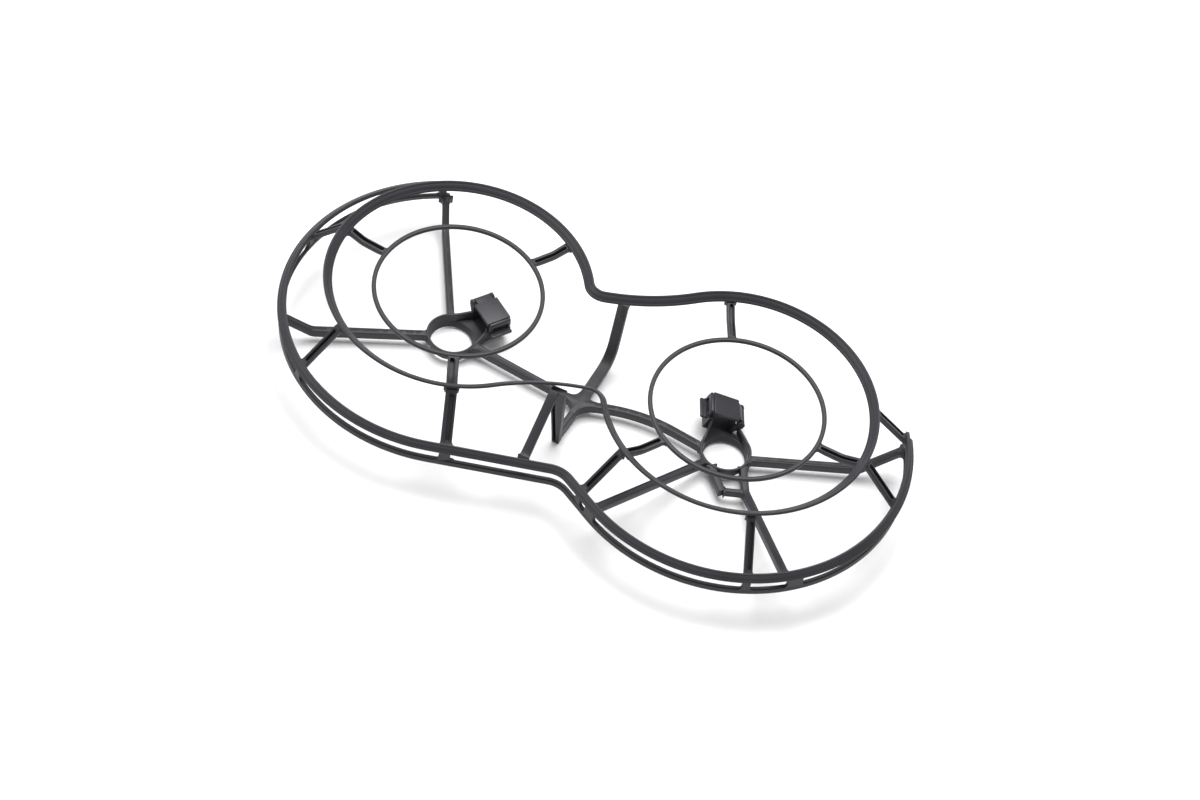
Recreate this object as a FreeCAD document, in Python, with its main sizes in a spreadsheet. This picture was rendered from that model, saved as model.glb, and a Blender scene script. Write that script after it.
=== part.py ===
"""One side's propeller guard for a small folding camera drone, with its two arm buckles.

Lengths are millimetres and angles degrees. X runs from the rear propeller to the front one, +Y points
at the aircraft's body, and Z is up from the surface the guard stands on. The guard is a cage of strips
and struts round two propellers: a small ring and a closed figure-eight loop above the blades, a bumper
rim of two rails outside them, and cups under the motors, held by spokes. A buckle on each cup closes
over the aircraft's arm.
"""

import FreeCAD, Part
import math
import os
import re
import Sketcher

SIZES = {
    # plan of the cage
    "rear_x": -64.45, "front_x": 61.55, "axis_y": 6.1,
    "ring_radius_rear": 35.1, "ring_radius_front": 36.0,
    "loop_radius_rear": 54.4, "loop_radius_front": 56.0,
    "rim_radius_rear": 72.4, "rim_radius_front": 73.6,
    "rim_shift_x_rear": 0.5, "rim_shift_y_rear": -0.8, "rim_shift_x_front": 1.2, "rim_shift_y_front": -1.5,
    # heights of the strips' middles above the ground
    "ring_height": 35.5, "loop_height": 39.9, "rim_height": 23.0, "rail_height": 14.8,
    # strip sections: width along the strip's slope, thickness, and slope (outer edge up is positive)
    "ring_width": 1.9, "ring_thick": 1.8, "ring_tilt": 0,
    "loop_width": 4.6, "loop_thick": 1.2, "loop_tilt": 42,
    "rim_width": 3.9, "rim_thick": 1.8, "rim_tilt": -40,
    "rail_width": 3.0, "rail_thick": 1.5, "rail_tilt": -76,
    # waist of the loop: a tight bend by one lobe and a slack one by the other
    "waist_tight": 7.0, "waist_slack": 95.0, "waist_angle": 29.5,
    # near waist of the rim: straight runs off each lobe and a bend between them
    "rim_leave_rear": -74.0, "rim_leave_front": -120.5, "rim_bend": 11.0,
    "rim_end_rear": 118.0, "rim_end_front": 26.0,
    # struts of channel section
    "strut_width": 3.4, "broad_width": 4.6, "channel": 1.9, "channel_depth": 1.5, "strut_drop": 2.8,
    "knee_run": 11.3, "knee_rise": 0.6, "knee_depth": 2.4, "rim_strut_depth": 3.0, "post_half": 0.8,
    # cups under the motors, and the spokes that hold them
    "cup_outer": 11.0, "cup_bore": 9.6, "cup_hole": 8.4, "cup_foot": 9.4, "cup_height": 7.5,
    "cup_bottom": 1.2, "cup_seat": 3.6, "cup_skirt": 5.2,
    "spoke_width": 3.0, "spoke_depth": 3.9, "spoke_top": 7.2, "spoke_bend": 59.0, "spoke_groove": 0.4,
    # middle of the guard: boss, landing leg, foot bar and the strut to the far waist
    "boss_x": -0.8, "boss_y": -6.6, "boss_radius": 3.4, "boss_top": 6.8, "boss_depth": 3.6,
    "foot_x": -2.6, "foot_y": -24.6, "foot_width": 3.2, "leg_top_width": 6.4, "leg_lean": 5.5,
    "far_top_x": 1.1, "far_top_y": 26.6, "near_top_x": -5.4, "near_top_y": -31.6,
    "near_rim_x": -6.0, "near_rim_y": -57.3,
    "leg_thick": 3.2, "leg_wall": 0.9, "leg_groove": 2.0,
    # arm buckles: distance and bearing of each from its cup, and the roll of its seat
    "clip_distance_rear": 18.3, "clip_bearing_rear": 54.0, "clip_roll_rear": 0,
    "clip_distance_front": 17.6, "clip_bearing_front": 113.0, "clip_roll_front": 20.0,
    "clip_length": 10.8, "clip_inside": 5.2, "clip_wall": 1.4, "clip_floor": 4.4, "clip_floor_thick": 1.4,
    "clip_wall_top": 10.2, "clip_plate": 12.8, "clip_plate_thick": 1.5, "clip_plate_edge": 6.8,
    "hinge_v": 7.5, "hinge_w_rear": 12.4, "hinge_w_front": 10.8, "hinge_radius": 1.7,
    "pin_radius": 0.8, "pin_play": 0.05, "knuckle_half": 3.8, "knuckle_gap": 0.35,
    "latch_gap": 0.3, "latch_thick": 1.2, "latch_drop": 5.2,
    "latch_tab": 2.2, "latch_tab_thick": 1.2,
}

LOBES = {
    lobe: {"x": f"{lobe}_x", "y": "axis_y", "ring": f"ring_radius_{lobe}", "loop": f"loop_radius_{lobe}",
           "rim": f"rim_radius_{lobe}", "rim_x": f"({lobe}_x + rim_shift_x_{lobe})",
           "rim_y": f"(axis_y + rim_shift_y_{lobe})"}
    for lobe in ("rear", "front")
}
UP = FreeCAD.Vector(0, 0, 1)

doc = FreeCAD.newDocument("propeller_guard")
sheet = doc.addObject("Spreadsheet::Sheet", "Sizes")
for row, (alias, number) in enumerate(SIZES.items(), 1):
    sheet.set(f"A{row}", alias)
    sheet.set(f"B{row}", str(number))
    sheet.setAlias(f"B{row}", alias)
doc.recompute()

nodes = {}


def bound(text):
    """The text as an expression on the sheet: every alias in it is read from there."""
    word = r"[a-z][a-z_]*"
    return re.sub(word, lambda hit: f"Sizes.{hit[0]}" if hit[0] in SIZES else hit[0], str(text))


def size(text):
    """The present value of an expression on the sheet."""
    return float(sheet.evalExpression(bound(text)))


def bind(thing, prop, text):
    thing.setExpression(prop, bound(text))


# ---------------------------------------------------------------- bodies, sketches and features
def new_body(label, x="0", y="0", z="0", turn="0"):
    """A PartDesign body at x, y, z, turned about the vertical."""
    body = doc.addObject("PartDesign::Body", label)
    body.Label = label
    for axis, text in zip("xyz", (x, y, z)):
        bind(body, f"Placement.Base.{axis}", text)
    bind(body, "Placement.Rotation.Angle", turn)
    return body


def new_sketch(body, role):
    sketch = body.newObject("Sketcher::SketchObject", body.Name + "_sketch")
    plane = next(feature for feature in body.Origin.OriginFeatures if feature.Role == role)
    sketch.AttachmentSupport = [(plane, "")]
    sketch.MapMode = "FlatFace"
    return sketch


def fix(sketch, kind, *where, text):
    """A dimension of the sketch, bound to an expression."""
    index = sketch.addConstraint(Sketcher.Constraint(kind, *where, size(text)))
    sketch.setExpression(f"Constraints[{index}]", bound(text))


def outline(sketch, points):
    """A closed polygon whose corners are pairs of expressions."""
    places = [FreeCAD.Vector(size(x), size(y), 0) for x, y in points]
    first = sketch.GeometryCount
    count = len(points)
    for place, following in zip(places, places[1:] + places[:1]):
        sketch.addGeometry(Part.LineSegment(place, following), False)
    for corner, (x, y) in enumerate(points):
        line = first + corner
        sketch.addConstraint(Sketcher.Constraint("Coincident", line, 2, first + (corner + 1) % count, 1))
        fix(sketch, "DistanceX", -1, 1, line, 1, text=x)
        fix(sketch, "DistanceY", -1, 1, line, 1, text=y)


def disc(sketch, x, y, radius):
    """A circle at x, y."""
    centre = FreeCAD.Vector(size(x), size(y), 0)
    circle = sketch.addGeometry(Part.Circle(centre, UP, size(radius)), False)
    fix(sketch, "DistanceX", -1, 1, circle, 3, text=x)
    fix(sketch, "DistanceY", -1, 1, circle, 3, text=y)
    fix(sketch, "Radius", circle, text=radius)


def upright(sketch, x):
    """A construction line parallel to the sketch's own upright, as an axis to turn a profile about."""
    line = sketch.addGeometry(
        Part.LineSegment(FreeCAD.Vector(size(x), 0, 0), FreeCAD.Vector(size(x), 1, 0)), True)
    for end in (1, 2):
        fix(sketch, "DistanceX", -1, 1, line, end, text=x)
        fix(sketch, "DistanceY", -1, 1, line, end, text=end - 1)


def revolve(body, sketch, degrees, axis="V_Axis", back=False):
    """Turns the profile, anticlockwise seen from above unless back."""
    turn = body.newObject("PartDesign::Revolution", body.Name + "_turn")
    turn.Profile = sketch
    turn.ReferenceAxis = (sketch, [axis])
    turn.Reversed = back
    bind(turn, "Angle", degrees)


def extrude(body, sketch, length, both=True, cut=False, back=False):
    """Pads or pockets a sketch by a length, split over both sides unless told otherwise."""
    kind = "Pocket" if cut else "Pad"
    feature = body.newObject("PartDesign::" + kind, body.Name + "_" + kind.lower())
    feature.Profile = sketch
    feature.Midplane = both
    feature.Reversed = back
    bind(feature, "Length", length)


def tilted(feature, centre, part):
    """The four corners of a strip's section, about a centre at the strip's height."""
    width, thick, tilt, height = (f"{part}_{name}" for name in ("width", "thick", "tilt", "height"))
    corners = []
    for across, over in ((-1, -1), (1, -1), (1, 1), (-1, 1)):
        x = f"{centre} + {across}*{width}/2*cos({tilt}) - {over}*{thick}/2*sin({tilt})"
        y = f"{height} + {across}*{width}/2*sin({tilt}) + {over}*{thick}/2*cos({tilt})"
        corners.append((x, y))
    outline(feature, corners)


def trimmed(label, blank, tools):
    """The blank less each tool, as the node of that name."""
    for number, tool in enumerate(tools):
        cut = doc.addObject("Part::Cut", f"{label}_trim_{number}")
        cut.Base = blank
        cut.Tool = tool
        blank = cut
    blank.Label = label
    nodes[label] = blank
    return blank


def keep(label, body):
    nodes[label] = body
    return body


# ---------------------------------------------------------------- strips
def lobe_strip(label, lobe, part, radius, start, sweep, back=False, run=None):
    """A strip round a lobe from a start bearing, with an optional straight run off its start."""
    about = "rim_" if run else ""
    body = new_body(label, LOBES[lobe][about + "x"], LOBES[lobe][about + "y"], turn=start)
    sketch = new_sketch(body, "XZ_Plane")
    tilted(sketch, radius, part)
    doc.recompute()
    revolve(body, sketch, sweep, back=back)
    if run:
        extrude(body, sketch, run, both=False, back=back)
    return keep(label, body)


def polar(lobe, radius, bearing):
    """A point by its distance and bearing from a lobe's middle."""
    angle = math.radians(bearing)
    return (size(LOBES[lobe]["x"]) + radius * math.cos(angle), size("axis_y") + radius * math.sin(angle))


def rim_polar(lobe, bearing):
    """The point of a lobe's rim at a bearing from the rim's own middle."""
    angle = math.radians(bearing)
    radius = size(LOBES[lobe]["rim"])
    return (size(LOBES[lobe]["rim_x"]) + radius * math.cos(angle),
            size(LOBES[lobe]["rim_y"]) + radius * math.sin(angle))


def rim_reach(lobe, bearing):
    """How far the rim is from the lobe's middle, at a bearing from there."""
    angle = math.radians(bearing)
    x = size(f"rim_shift_x_{lobe}")
    y = size(f"rim_shift_y_{lobe}")
    forward = x * math.cos(angle) + y * math.sin(angle)
    aside = y * math.cos(angle) - x * math.sin(angle)
    return round(forward + math.sqrt(size(LOBES[lobe]["rim"]) ** 2 - aside ** 2), 3)


def between(name):
    """A named point given by its offsets from halfway between the lobes."""
    return (size(f"(rear_x + front_x)/2 + {name}_x"), size(f"axis_y + {name}_y"))


def bearing_of(start, end):
    return math.degrees(math.atan2(end[1] - start[1], end[0] - start[0]))


def along(start, end, distance):
    """The point at a distance from start on the line to end."""
    span = math.dist(start, end)
    return tuple(a + (b - a) * distance / span for a, b in zip(start, end))


def loop_waist(tight_lobe, slack_lobe, turn):
    """Centres of the two bends of the loop's waist that is on the side the turn points to."""
    tight = size("waist_tight")
    slack = size("waist_slack")
    bend = polar(tight_lobe, size(LOBES[tight_lobe]["loop"]) + tight, turn)
    lobe = (size(LOBES[slack_lobe]["x"]), size("axis_y"))
    reach = size(LOBES[slack_lobe]["loop"]) + slack
    apart = math.dist(lobe, bend)
    inside = (reach ** 2 + apart ** 2 - (slack - tight) ** 2) / (2 * reach * apart)
    side = 1 if math.sin(math.radians(turn)) * math.cos(math.radians(turn)) > 0 else -1
    heading = bearing_of(lobe, bend) - side * math.degrees(math.acos(inside))
    return bend, polar(slack_lobe, reach, heading), heading


def waist_strip(label, tight_lobe, slack_lobe, turn):
    """The waist's strip: one section turned about both bends' centres, on their common line."""
    bend, slack_centre, heading = loop_waist(tight_lobe, slack_lobe, turn)
    outward = bearing_of(bend, slack_centre)
    meet = along(slack_centre, bend, size("waist_slack"))
    body = new_body(label, meet[0], meet[1], turn=outward)
    sketch = new_sketch(body, "XZ_Plane")
    tilted(sketch, "0", "loop")
    upright(sketch, "waist_tight")
    upright(sketch, "waist_slack")
    doc.recompute()
    revolve(body, sketch, (outward - turn) % 360, "Axis0", back=True)
    revolve(body, sketch, (heading - outward) % 360, "Axis1")
    return keep(label, body)


for lobe in LOBES:
    lobe_strip(f"inner_ring_{lobe}", lobe, "ring", LOBES[lobe]["ring"], "0", "360")

far_heading = loop_waist("rear", "front", size("waist_angle"))[2]
near_heading = loop_waist("front", "rear", size("waist_angle") - 180)[2]
lobe_strip("loop_rear", "rear", "loop", "loop_radius_rear", "waist_angle",
           (near_heading - size("waist_angle")) % 360)
lobe_strip("loop_front", "front", "loop", "loop_radius_front", "waist_angle - 180",
           (far_heading - size("waist_angle") + 180) % 360)
waist_strip("loop_waist_far", "rear", "front", size("waist_angle"))
waist_strip("loop_waist_near", "front", "rear", size("waist_angle") - 180)


def rim_corner():
    """Where the rim's two straight runs would meet, and how far its bend starts from there."""
    rear_turn = size("rim_leave_rear")
    front_turn = size("rim_leave_front")
    rear = rim_polar("rear", rear_turn)
    front = rim_polar("front", front_turn)
    slope_rear = math.tan(math.radians(rear_turn + 90))
    slope_front = math.tan(math.radians(front_turn + 90))
    x = (front[1] - rear[1] + slope_rear * rear[0] - slope_front * front[0]) / (slope_rear - slope_front)
    corner = (x, rear[1] + slope_rear * (x - rear[0]))
    cutback = size("rim_bend") * math.tan(math.radians(rear_turn - front_turn) / 2)
    return corner, cutback, math.dist(rear, corner) - cutback, math.dist(front, corner) - cutback


corner, cutback, run_rear, run_front = rim_corner()
for level, part in (("upper", "rim"), ("lower", "rail")):
    lobe_strip(f"rim_{level}_rear", "rear", part, "rim_radius_rear", "rim_leave_rear",
               "360 + rim_leave_rear - rim_end_rear", back=True, run=run_rear)
    lobe_strip(f"rim_{level}_front", "front", part, "rim_radius_front", "rim_leave_front",
               "rim_end_front - rim_leave_front", run=run_front)
    rear_end = along(corner, rim_polar("rear", size("rim_leave_rear")), cutback)
    bend = new_body(f"rim_{level}_waist", rear_end[0], rear_end[1], turn="rim_leave_rear")
    section = new_sketch(bend, "XZ_Plane")
    tilted(section, "0", part)
    upright(section, "rim_bend")
    doc.recompute()
    revolve(bend, section, "rim_leave_rear - rim_leave_front", "Axis0", back=True)
    keep(f"rim_{level}_waist", bend)


# ---------------------------------------------------------------- struts
def member(label, x, y, turn, profile, width, tools, groove=None, groove_width="channel"):
    """A straight member: a side profile in its own upright plane, padded to its width."""
    body = new_body(label + "_blank", x, y, turn=turn)
    sketch = new_sketch(body, "XZ_Plane")
    outline(sketch, profile)
    doc.recompute()
    extrude(body, sketch, width)
    if groove:
        slot = new_sketch(body, "XZ_Plane")
        outline(slot, groove)
        doc.recompute()
        extrude(body, slot, groove_width, cut=True)
    return trimmed(label, body, tools)


def channel_above(points, depth="channel_depth"):
    """The profile of a channel that is open upwards, along the top edge of a member."""
    floor = [(x, f"{y} - {depth}") for x, y in points]
    return [(x, f"{y} + 2") for x, y in points] + floor[::-1]


def shortened(points, gap):
    """The same line of points with each end drawn in by a gap."""
    places = [(size(x), size(y)) for x, y in points]
    places[0] = along(places[0], places[1], gap)
    places[-1] = along(places[-1], places[-2], gap)
    return [(str(round(x, 3)), str(round(y, 3))) for x, y in places]


def inner_strut(lobe, name, turn, width="strut_width"):
    """From the inner ring out and up to the loop, with a knee on the way."""
    ring = LOBES[lobe]["ring"]
    loop = LOBES[lobe]["loop"]
    top = [(f"{ring} + 0.6", "ring_height + 0.5"), (f"{ring} + knee_run", "ring_height + knee_rise"),
           (f"{loop} - 1.3", "loop_height - 1.1")]
    under = [(loop, "loop_height"), (loop, "loop_height - strut_drop"),
             (f"{ring} + knee_run", "ring_height + knee_rise - knee_depth"),
             (f"{ring} + 0.1", "ring_height - 0.9")]
    member(f"inner_strut_{name}", LOBES[lobe]["x"], "axis_y", turn, top + under, width,
           [nodes[f"inner_ring_{lobe}"], nodes[f"loop_{lobe}"]], channel_above(top, "1.2"))


def outer_profile(loop, rim, post):
    """Side profile from the loop down to the rim, with or without a post on to the lower rail."""
    top = [(f"{loop} + 1.0", "loop_height + 0.9"), (f"{rim} - 1.2", "rim_height + 1.0")]
    tail = [(f"{rim} + post_half", "rim_height - 0.7")]
    if post:
        tail += [(f"{rim} + post_half", "rail_height + 0.6"), (f"{rim} - post_half", "rail_height + 0.6")]
    else:
        tail += [(f"{rim} + post_half", "rim_height - 1.9")]
    tail += [(f"{rim} - post_half", "rim_height + 1.1 - rim_strut_depth")]
    return [(loop, "loop_height")] + top + tail + [(loop, "loop_height - strut_drop")], channel_above(top)


def outer_strut(lobe, name, turn, width="strut_width"):
    """From the loop out and down to the rim, and on as a post between the rim's rails."""
    profile, channel = outer_profile(LOBES[lobe]["loop"], str(rim_reach(lobe, size(turn))), True)
    tools = [nodes[f"{piece}_{lobe}"] for piece in ("loop", "rim_upper", "rim_lower")]
    member(f"outer_strut_{name}", LOBES[lobe]["x"], "axis_y", turn, profile, width, tools, channel)


inner_strut("rear", "rear_left", "174")
inner_strut("rear", "rear_far", "55")
inner_strut("rear", "rear_near", "-68", "broad_width")
inner_strut("front", "front_far", "115")
inner_strut("front", "front_near", "-124.5")
inner_strut("front", "front_right", "-3")
outer_strut("rear", "rear_left", "174")
outer_strut("rear", "rear_corner", "-126")
outer_strut("rear", "rear_near", "-68", "broad_width")
outer_strut("front", "front_near", "-124.5")
outer_strut("front", "front_middle", "-63.5")
outer_strut("front", "front_right", "-3")
outer_strut("front", "front_end", "rim_end_front - 1.5")

near_top = between("near_top")
near_rim = between("near_rim")
profile, channel = outer_profile("0", str(round(math.dist(near_top, near_rim), 2)), False)
member("waist_strut_near", near_top[0], near_top[1], bearing_of(near_top, near_rim), profile, "strut_width",
       [nodes["loop_waist_near"], nodes["rim_upper_rear"]], channel)


def rim_post(name, lobe, turn, width):
    """A post between the rim's two rails."""
    rim = rim_reach(lobe, size(turn))
    profile = [(f"{rim} - post_half", "rail_height + 0.6"), (f"{rim} + post_half", "rail_height + 0.6"),
               (f"{rim} + post_half", "rim_height - 0.6"), (f"{rim} - post_half", "rim_height + 0.6")]
    return member(f"rim_post_{name}", LOBES[lobe]["x"], "axis_y", turn, profile, width,
                  [nodes[f"rim_upper_{lobe}"], nodes[f"rim_lower_{lobe}"]])


rim_post("rear_end", "rear", "rim_end_rear + 1.3", "spoke_width")
rim_post("front_left", "front", "-118.2", "5.6")
rim_post("front_middle", "front", "-48.2", "6.6")


# ---------------------------------------------------------------- cups and spokes
def cup(lobe):
    """A cup for a motor's base, open on the side where the aircraft's arm comes in."""
    body = new_body(f"motor_cup_{lobe}", LOBES[lobe]["x"], "axis_y", turn=f"clip_bearing_{lobe}")
    wall = new_sketch(body, "XZ_Plane")
    outline(wall, [("cup_hole", "cup_bottom"), ("cup_foot", "cup_bottom"), ("cup_outer", "cup_skirt"),
                   ("cup_outer", "cup_height"), ("cup_bore", "cup_height"), ("cup_bore", "cup_seat")])
    doc.recompute()
    revolve(body, wall, "360")
    gate = new_sketch(body, "YZ_Plane")
    outline(gate, [(f"{side}*clip_inside*0.92", height) for side, height in
                   ((-1, "cup_seat"), (1, "cup_seat"), (1, "cup_height + 1"), (-1, "cup_height + 1"))])
    doc.recompute()
    extrude(body, gate, "cup_outer + 1", both=False, cut=True, back=True)
    keep(f"motor_cup_{lobe}", body)
    plug = doc.addObject("Part::Cylinder", f"cup_plug_{lobe}")
    for prop, text in (("Radius", "cup_outer"), ("Height", "40"), ("Placement.Base.x", LOBES[lobe]["x"]),
                       ("Placement.Base.y", "axis_y"), ("Placement.Base.z", "-5")):
        bind(plug, prop, text)
    return plug


plugs = {lobe: cup(lobe) for lobe in LOBES}
boss = doc.addObject("Part::Cylinder", "centre_boss")
for prop, text in (("Radius", "boss_radius"), ("Height", "boss_depth"),
                   ("Placement.Base.x", "(rear_x + front_x)/2 + boss_x"),
                   ("Placement.Base.y", "axis_y + boss_y"), ("Placement.Base.z", "boss_top - boss_depth")):
    bind(boss, prop, text)
keep("centre_boss", boss)


def bar(label, start, end, top, tools, depth="spoke_depth", width="spoke_width"):
    """A member between two plan points, whose top edge is given by pairs of distance and height."""
    under = [(x, f"{y} - {depth}") for x, y in reversed(top)]
    member(label, start[0], start[1], bearing_of(start, end), top + under, width, tools,
           channel_above(shortened(top, size("spoke_width")), "spoke_groove"), "spoke_width - 1.6")


def rim_spoke(name, lobe, turn):
    """A spoke that runs level from the cup, then bends up to the rim's lower rail."""
    top = [("cup_bore", "spoke_top"), ("spoke_bend", "spoke_top"),
           (str(rim_reach(lobe, turn)), "rail_height + 1.2")]
    centre = (size(LOBES[lobe]["x"]), size("axis_y"))
    bar(f"spoke_{name}", centre, polar(lobe, 1, turn), top,
        [plugs[lobe], nodes[f"rim_lower_{lobe}"], nodes[f"rim_upper_{lobe}"]])


def raised_spoke(name, lobe, start, turn, others):
    """A spoke that climbs in one straight run to the rim's upper rail."""
    end = polar(lobe, rim_reach(lobe, turn) - 0.9, turn)
    top = [("0", "spoke_top"), (str(math.dist(start, end)), "rim_height + 0.6")]
    bar(f"spoke_{name}", start, end, top, [plugs[lobe], nodes[f"rim_upper_{lobe}"]] + others)


def level(label, start, end, tools, over=1.4):
    """A level bar between two points, a little longer than the gap so that its ends are trimmed."""
    reach = str(math.dist(start, end) + over)
    bar(label, start, end, [("0", "spoke_top"), (reach, "spoke_top")], tools)


rim_spoke("rear_far", "rear", 118.0)
rim_spoke("rear_left", "rear", -153.0)
raised_spoke("front_near_left", "front", polar("front", 9.6, -122), -117.2, [nodes["rim_post_front_left"]])

right_knee = polar("front", 56.2, 20.5)
right_end = polar("front", rim_reach("front", 25.0), 25.0)
level("spoke_front_right", polar("front", 9.4, 3.6), right_knee, [plugs["front"]], 0)
bar("spoke_front_rise", right_knee, right_end,
    [("-1", "spoke_top - 0.2"), (str(math.dist(right_knee, right_end)), "rail_height + 1.2")],
    [nodes["spoke_front_right"], nodes["rim_lower_front"], nodes["rim_upper_front"],
     nodes["outer_strut_front_end"]])

bracket_corner = polar("front", 22.0, -45.5)
bracket_knee = polar("front", 20.4, -73.0)
level("bracket_arm_right", polar("front", 9.9, -20.0), bracket_corner, [plugs["front"]])
raised_spoke("front_near_right", "front", bracket_corner, -51.6,
             [nodes["rim_post_front_middle"], nodes["bracket_arm_right"]])
level("bracket_arm_left", polar("front", 9.6, -109.0), bracket_knee,
      [plugs["front"], nodes["spoke_front_near_left"]])
level("bracket_link", along(bracket_knee, bracket_corner, 1.2), along(bracket_corner, bracket_knee, 1.7),
      [nodes["bracket_arm_left"], nodes["bracket_arm_right"], nodes["spoke_front_near_right"]], 0)

boss_middle = between("boss")
rear_middle = (size("rear_x"), size("axis_y") + 0.6)
front_middle = polar("front", 9.6, -165.0)
spoke_crest = (size("front_x") - 37.5, size("axis_y") + 1.6)
bar("spoke_rear_centre", rear_middle, boss_middle,
    [("cup_bore", "spoke_top"), (str(math.dist(rear_middle, boss_middle)), "boss_top")],
    [plugs["rear"], boss])
bar("spoke_front_centre", front_middle, spoke_crest,
    [("0", "spoke_top"), (str(math.dist(front_middle, spoke_crest) + 0.9), "spoke_top")],
    [plugs["front"]])
bar("spoke_front_link", spoke_crest, boss_middle,
    [("0", "spoke_top"), (str(math.dist(spoke_crest, boss_middle)), "boss_top")],
    [nodes["spoke_front_centre"], boss])

foot = between("foot")
foot_reach = math.dist(boss_middle, foot)
boss_under = "boss_top - boss_depth"
member("foot_bar", boss_middle[0], boss_middle[1], bearing_of(boss_middle, foot),
       [("0", "boss_top"), (f"{foot_reach} - 0.65", "boss_top"), (f"{foot_reach} - 1.3", "0"), ("6", "0"),
        ("3", boss_under), ("0", boss_under)], "spoke_width", [boss])


# ---------------------------------------------------------------- waist strut and landing leg
def far_waist_strut():
    """An upright from the loop's far waist, turning level at its foot to reach the centre boss."""
    top_point = between("far_top")
    reach = math.dist(top_point, boss_middle)
    outside = [("-1.5", "loop_height"), ("-0.4", "12"), ("0.9", "8.2"), ("3.6", "5.4"),
               ("7", "boss_top - 2.6")]
    inside = [("12", "boss_top"), ("7.5", "8.2"), ("4.6", "11"), ("3.2", "15"), ("1.5", "loop_height")]
    ends = [(str(reach), "boss_top - 2.6"), (str(reach), "boss_top")]
    member("waist_strut_far", top_point[0], top_point[1], bearing_of(top_point, boss_middle),
           outside + ends + inside, "strut_width", [nodes["loop_waist_far"], boss])


def landing_leg():
    """A tapered channel that stands on the ground and leans in under the loop's near waist."""
    body = new_body("landing_leg_blank", foot[0], f"{foot[1]} - leg_thick/2")
    body.setExpression("Placement.Rotation.Angle", None)
    body.Placement.Rotation = FreeCAD.Rotation(FreeCAD.Vector(1, 0, 0), size("leg_lean"))
    shape = new_sketch(body, "XZ_Plane")
    outline(shape, [("-foot_width/2", "0"), ("foot_width/2", "0"), ("1.4", "loop_height - 1.4"),
                    ("1.4 - leg_top_width", "loop_height - 1.4")])
    doc.recompute()
    extrude(body, shape, "leg_thick", both=False, back=True)
    slot = new_sketch(body, "XZ_Plane")
    outline(slot, [("leg_wall - foot_width/2", "2"), ("foot_width/2 - leg_wall", "2"),
                   ("1.4 - leg_wall", "loop_height - 2"),
                   ("1.4 + leg_wall - leg_top_width", "loop_height - 2")])
    doc.recompute()
    extrude(body, slot, "leg_groove", both=False, cut=True)
    trimmed("landing_leg", body, [nodes["loop_waist_near"], nodes["waist_strut_near"], nodes["foot_bar"]])


far_waist_strut()
landing_leg()


# ---------------------------------------------------------------- arm buckles
def clip_place(lobe, body):
    """Puts a body in its buckle's frame: X out along the arm, Z square to the seat."""
    bearing = size(f"clip_bearing_{lobe}")
    x, y = polar(lobe, size(f"clip_distance_{lobe}"), bearing)
    roll = FreeCAD.Rotation(FreeCAD.Vector(1, 0, 0), size(f"clip_roll_{lobe}"))
    turn = FreeCAD.Rotation(UP, bearing)
    seat = FreeCAD.Vector(0, 0, size("clip_plate"))
    body.Placement = FreeCAD.Placement(FreeCAD.Vector(x, y, 0) + seat, turn * roll) * \
        FreeCAD.Placement(seat * -1, FreeCAD.Rotation())


def clip_body(lobe, label):
    body = doc.addObject("PartDesign::Body", label)
    body.Label = label
    clip_place(lobe, body)
    return body


def mirrored(points, side):
    return [(f"{side}*({v})", w) for v, w in points]


def saddle(lobe, side):
    """The seat under the arm: a floor, two walls, and two ears for the hinge pin."""
    body = clip_body(lobe, f"arm_saddle_{lobe}")
    hinge_w = f"hinge_w_{lobe}"
    shape = new_sketch(body, "YZ_Plane")
    outer = "clip_inside + clip_wall"
    outline(shape, mirrored([
        (f"-({outer})", "clip_floor - clip_floor_thick"), (outer, "clip_floor - clip_floor_thick"),
        (outer, "clip_wall_top"), ("clip_inside", "clip_wall_top"), ("clip_inside", "clip_floor"),
        ("-clip_inside", "clip_floor"), ("-clip_inside", "clip_wall_top"), (f"-({outer})", "clip_wall_top"),
    ], side))
    doc.recompute()
    extrude(body, shape, "clip_length")
    ear = new_sketch(body, "YZ_Plane")
    outline(ear, mirrored([
        (outer, "clip_wall_top - 4"), ("hinge_v + hinge_radius", f"{hinge_w} - 1.2"),
        ("hinge_v + hinge_radius", f"{hinge_w} + 0.7"), ("hinge_v + 0.7", f"{hinge_w} + hinge_radius"),
        ("hinge_v - 0.7", f"{hinge_w} + hinge_radius"), ("hinge_v - hinge_radius", f"{hinge_w} + 0.7"),
        ("hinge_v - hinge_radius", "clip_wall_top - 0.4"), (outer, "clip_wall_top - 0.4"),
    ], side))
    doc.recompute()
    extrude(body, ear, "clip_length - 0.6")
    gap = new_sketch(body, "YZ_Plane")
    outline(gap, mirrored([
        (outer, "clip_wall_top - 5"), ("hinge_v + 4", "clip_wall_top - 5"),
        ("hinge_v + 4", f"{hinge_w} + 4"), ("hinge_v - hinge_radius - 0.5", f"{hinge_w} + 4"),
        ("hinge_v - hinge_radius - 0.5", f"{hinge_w} - hinge_radius - 0.5"),
        (outer, f"{hinge_w} - hinge_radius - 0.5"),
    ], side))
    doc.recompute()
    extrude(body, gap, "2*(knuckle_half + knuckle_gap)", cut=True)
    bore = new_sketch(body, "YZ_Plane")
    disc(bore, f"{side}*hinge_v", f"hinge_w_{lobe}", "pin_radius")
    doc.recompute()
    extrude(body, bore, "clip_length + 2", cut=True)
    keep(f"arm_saddle_{lobe}", body)


def hinge_pin(lobe, side):
    body = clip_body(lobe, f"hinge_pin_{lobe}")
    shape = new_sketch(body, "YZ_Plane")
    disc(shape, f"{side}*hinge_v", f"hinge_w_{lobe}", "pin_radius")
    doc.recompute()
    extrude(body, shape, "clip_length - 0.6")
    keep(f"hinge_pin_{lobe}", body)


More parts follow.
